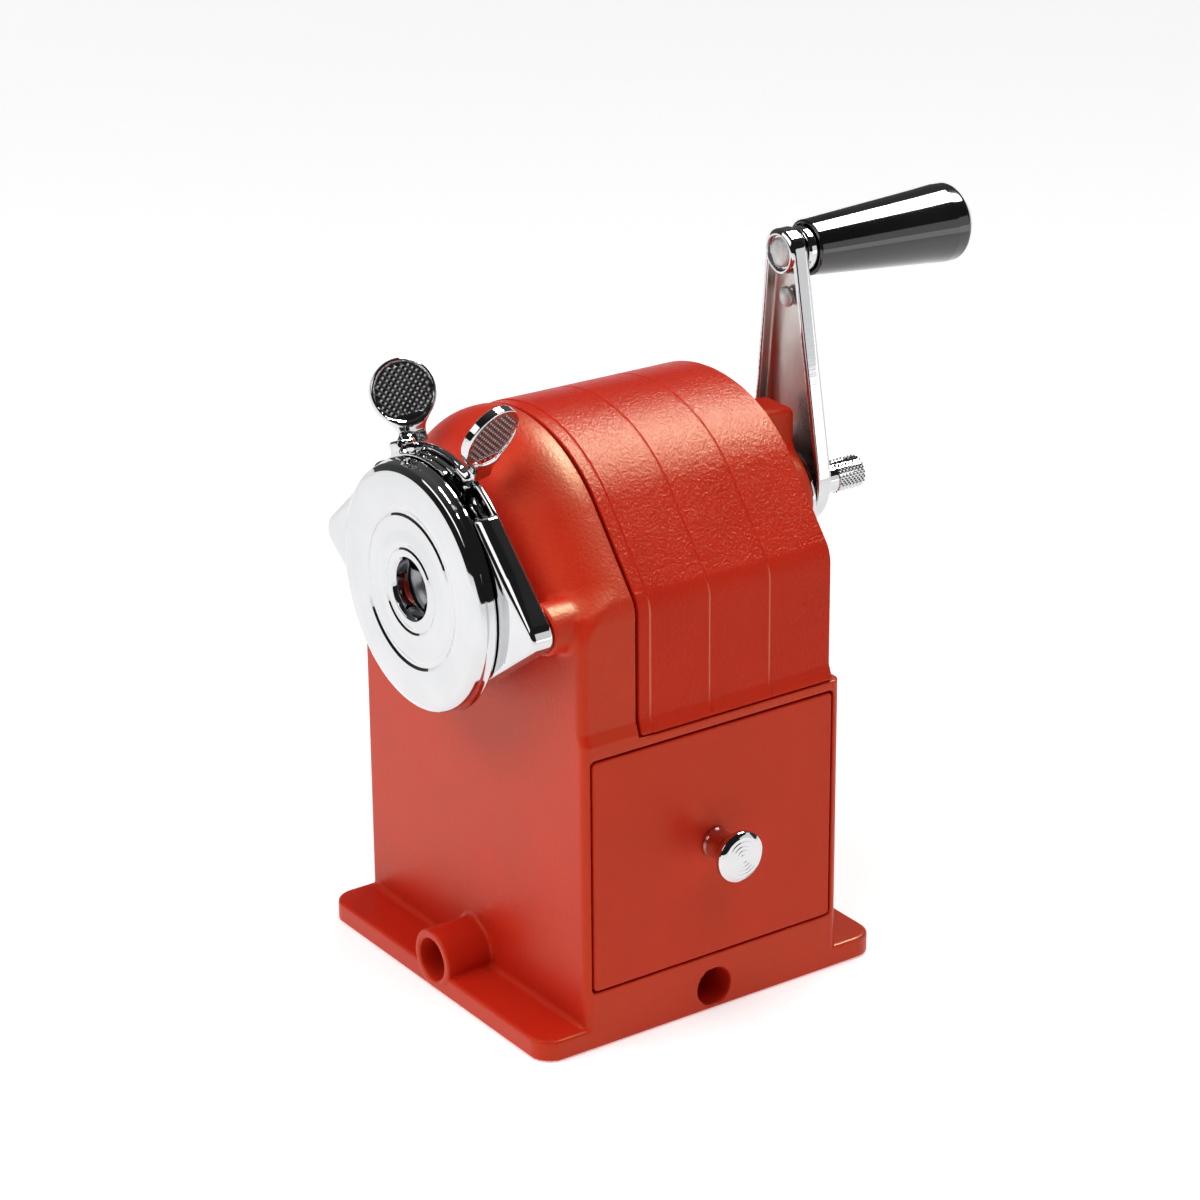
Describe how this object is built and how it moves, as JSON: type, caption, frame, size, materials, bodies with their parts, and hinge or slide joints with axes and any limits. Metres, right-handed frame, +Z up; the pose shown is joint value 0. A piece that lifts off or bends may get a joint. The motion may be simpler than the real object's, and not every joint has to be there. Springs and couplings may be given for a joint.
{
  "type": "pencil sharpener",
  "caption": "Hand-cranked desktop pencil sharpener with a sprung pull-out pencil chuck, finger levers, planetary helical cutter and a shavings drawer.",
  "frame": {"origin": "centre of the underside of the base", "axes": "+Z up, -Y out through the pencil chuck, +X out through the shavings drawer; the crank turns about Y"},
  "size_m": [0.0929, 0.1419, 0.151],
  "materials": {
    "red_paint": "satin enamel with a fine leather texture",
    "chrome": "polished",
    "steel": "turned",
    "tool_steel": "ground",
    "bronze": "turned",
    "black_gloss": "polished",
    "dark_plastic": "moulded"
  },
  "bodies": {
    "housing": {"base_housing": "red_paint", "hood_cover": "red_paint", "rear_cover": "red_paint", "rear_cover_screw_1": "steel", "rear_cover_screw_2": "steel", "rear_cover_screw_3": "steel", "rear_cover_screw_4": "steel", "ring_gear": "tool_steel", "crank_bushing": "bronze", "guide_bush_left": "bronze", "guide_bush_right": "bronze", "return_spring_left": "steel", "return_spring_right": "steel"},
    "drawer": {"drawer_front": "red_paint", "drawer_tray": "dark_plastic", "drawer_knob": "chrome", "drawer_knob_screw": "steel"},
    "chuck": {"face_disc": "chrome", "chuck_plate": "chrome", "disc_screw_1": "steel", "disc_screw_2": "steel", "disc_screw_3": "steel", "disc_screw_4": "steel", "lever_spring": "steel", "guide_rod_left": "steel", "guide_rod_right": "steel", "rod_clip_left": "tool_steel", "rod_clip_right": "tool_steel"},
    "finger_lever_left": {"lever_left": "chrome"},
    "finger_lever_right": {"lever_right": "chrome"},
    "jaw_top": {"jaw_1": "tool_steel"},
    "jaw_low_left": {"jaw_2": "tool_steel"},
    "jaw_low_right": {"jaw_3": "tool_steel"},
    "crank": {"crank_hub": "chrome", "crank_shaft": "steel", "crank_arm": "chrome", "arm_rivet": "chrome", "grip_axle": "steel", "cutter_carrier": "steel", "cutter_axle": "steel"},
    "grip": {"handle_grip": "black_gloss", "grip_ferrule": "chrome"},
    "cutter": {"helical_cutter": "tool_steel", "cutter_pinion": "tool_steel"},
    "adjuster": {"adjuster_knob": "chrome"},
    "stop": {"point_stop": "steel"}
  },
  "joints": [
    {"name": "drawer_slide", "type": "slide", "parent": "housing", "child": "drawer", "axis": [1, 0, 0], "range_m": [0, 0.06]},
    {"name": "chuck_slide", "type": "slide", "parent": "housing", "child": "chuck", "axis": [0, -1, 0], "range_m": [0, 0.026], "stiffness_N_per_m": 120, "springref_m": -0.02, "deforming": ["return_spring_left", "return_spring_right"]},
    {"name": "lever_left_turn", "type": "hinge", "parent": "chuck", "child": "finger_lever_left", "pos_m": [0, -0.0405, 0.0915], "axis": [0, 1, 0], "range_deg": [0, 10], "stiffness_Nm_per_rad": 0.6, "springref_deg": -20.05},
    {"name": "lever_right_turn", "type": "hinge", "parent": "chuck", "child": "finger_lever_right", "pos_m": [0, -0.0405, 0.0915], "axis": [0, 1, 0], "range_deg": [-10, 0]},
    {"name": "jaw_top_slide", "type": "slide", "parent": "chuck", "child": "jaw_top", "axis": [0, 0, 1], "range_m": [0, 0.00262]},
    {"name": "jaw_low_left_slide", "type": "slide", "parent": "chuck", "child": "jaw_low_left", "axis": [-0.866, 0, -0.5], "range_m": [0, 0.00262]},
    {"name": "jaw_low_right_slide", "type": "slide", "parent": "chuck", "child": "jaw_low_right", "axis": [0.866, 0, -0.5], "range_m": [0, 0.00262]},
    {"name": "crank_turn", "type": "hinge", "parent": "housing", "child": "crank", "pos_m": [0, 0.0473, 0.0915], "axis": [0, 1, 0], "continuous": true},
    {"name": "cutter_spin", "type": "hinge", "parent": "crank", "child": "cutter", "pos_m": [0, 0.0573, 0.0915], "axis": [0, 0.9816, 0.1908], "continuous": true},
    {"name": "grip_spin", "type": "hinge", "parent": "crank", "child": "grip", "pos_m": [-0.00246, 0.0509, 0.14374], "axis": [0.0015, 0.9995, -0.0314], "continuous": true},
    {"name": "adjuster_turn", "type": "hinge", "parent": "crank", "child": "adjuster", "pos_m": [0, 0.06, 0.0915], "axis": [0, 1, 0], "range_deg": [-360, 360]},
    {"name": "stop_slide", "type": "slide", "parent": "crank", "child": "stop", "axis": [0, 1, 0], "range_m": [-0.0007, 0.0007]}
  ],
  "couplings": [
    {"joint": "lever_right_turn", "follows": "lever_left_turn", "ratio": -1},
    {"joint": "jaw_top_slide", "follows": "lever_left_turn", "m_per_rad": 0.014897},
    {"joint": "jaw_low_left_slide", "follows": "lever_left_turn", "m_per_rad": 0.014897},
    {"joint": "jaw_low_right_slide", "follows": "lever_left_turn", "m_per_rad": 0.014897},
    {"joint": "cutter_spin", "follows": "crank_turn", "ratio": -2.75},
    {"joint": "adjuster_turn", "follows": "stop_slide", "rad_per_m": 8976}
  ]
}
